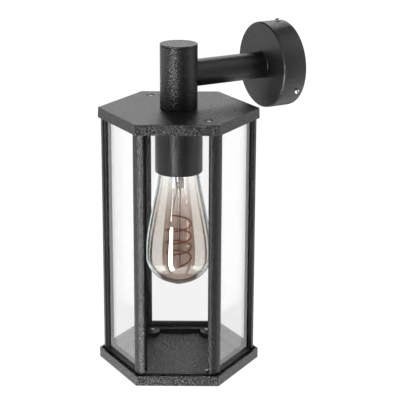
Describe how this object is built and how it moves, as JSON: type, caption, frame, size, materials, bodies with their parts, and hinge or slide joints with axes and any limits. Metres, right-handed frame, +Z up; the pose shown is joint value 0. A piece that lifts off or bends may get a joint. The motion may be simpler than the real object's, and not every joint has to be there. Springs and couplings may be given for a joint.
{
  "type": "outdoor wall lantern",
  "caption": "Six-sided glass wall lantern on a short arm and round wall cup, in black powder-coated metal, with a teardrop filament lamp inside.",
  "frame": {"origin": "centre of the mounting face on the wall, on the arm's axis", "axes": "+Y points into the wall, the arm leaves along -Y, +Z is up"},
  "size_m": [0.1584, 0.1856, 0.3346],
  "materials": {
    "coated_metal": "fine-textured anthracite black powder coat on cast and drawn aluminium, satin",
    "zinc_steel": "zinc-plated and stainless steel",
    "black_rubber": "black EPDM rubber",
    "white_plastic": "moulded polyamide",
    "brass": "nickel-bright to plain brass",
    "brown_insulation": "silicone-insulated wire, brown",
    "blue_insulation": "silicone-insulated wire, blue",
    "green_insulation": "silicone-insulated wire, green and yellow",
    "holder_ceramic": "unglazed white porcelain",
    "clear_glass": "clear polished float glass",
    "black_insulator": "black vitrite",
    "smoked_glass": "thin smoked glass with a light amber-grey tint",
    "filament_coating": "amber phosphor coating on the light-emitting strip"
  },
  "bodies": {
    "root": {"wall_bracket": "zinc_steel", "wall_gasket": "black_rubber", "cable_grommet": "black_rubber", "terminal_block": "white_plastic", "terminal_screws": "brass", "earth_screw": "brass", "earth_wire": "green_insulation", "wall_cup": "coated_metal", "cup_screws": "zinc_steel", "arm_collar": "coated_metal", "arm_tube": "coated_metal", "arm_rod": "zinc_steel", "arm_nuts": "zinc_steel", "arm_washer": "zinc_steel", "stem_tube": "coated_metal", "stem_cap": "coated_metal", "stem_nipple": "zinc_steel", "stem_nuts": "zinc_steel", "stem_washers": "zinc_steel", "live_wire": "brown_insulation", "neutral_wire": "blue_insulation", "lid": "coated_metal", "lid_gasket": "black_rubber", "lid_screws": "zinc_steel", "lampholder_cup": "coated_metal", "lampholder_body": "holder_ceramic", "lampholder_shell": "brass", "centre_contact": "brass", "holder_terminals": "brass"},
    "cage": {"top_frame": "coated_metal", "top_frame_screws": "zinc_steel", "bottom_frame": "coated_metal", "bottom_frame_screws": "zinc_steel", "post_1": "coated_metal", "post_2": "coated_metal", "post_3": "coated_metal", "post_4": "coated_metal", "post_5": "coated_metal", "post_6": "coated_metal", "pane_1": "clear_glass", "pane_2": "clear_glass", "pane_3": "clear_glass", "pane_4": "clear_glass", "pane_5": "clear_glass", "pane_6": "clear_glass", "pane_seals": "black_rubber", "tray": "coated_metal", "tray_screws": "zinc_steel"},
    "lamp_base": {"bulb_contact": "zinc_steel"},
    "lamp": {"bulb_insulator": "black_insulator", "bulb_cap": "brass", "bulb_glass": "smoked_glass", "bulb_stem": "clear_glass", "filament": "filament_coating", "filament_supports": "zinc_steel"}
  },
  "joints": [
    {"name": "cage_drop", "type": "slide", "parent": "root", "child": "cage", "axis": [0, 0, -1], "range_m": [0, 0.185]},
    {"name": "lamp_lift", "type": "slide", "parent": "root", "child": "lamp_base", "axis": [0, 0, -1], "range_m": [0, 0.0145]},
    {"name": "lamp_turn", "type": "hinge", "parent": "lamp_base", "child": "lamp", "pos_m": [0, -0.117, 0], "axis": [0, 0, -1], "range_deg": [0, 1440]}
  ],
  "couplings": [
    {"joint": "lamp_lift", "follows": "lamp_turn", "m_per_rad": 0.00057614}
  ]
}
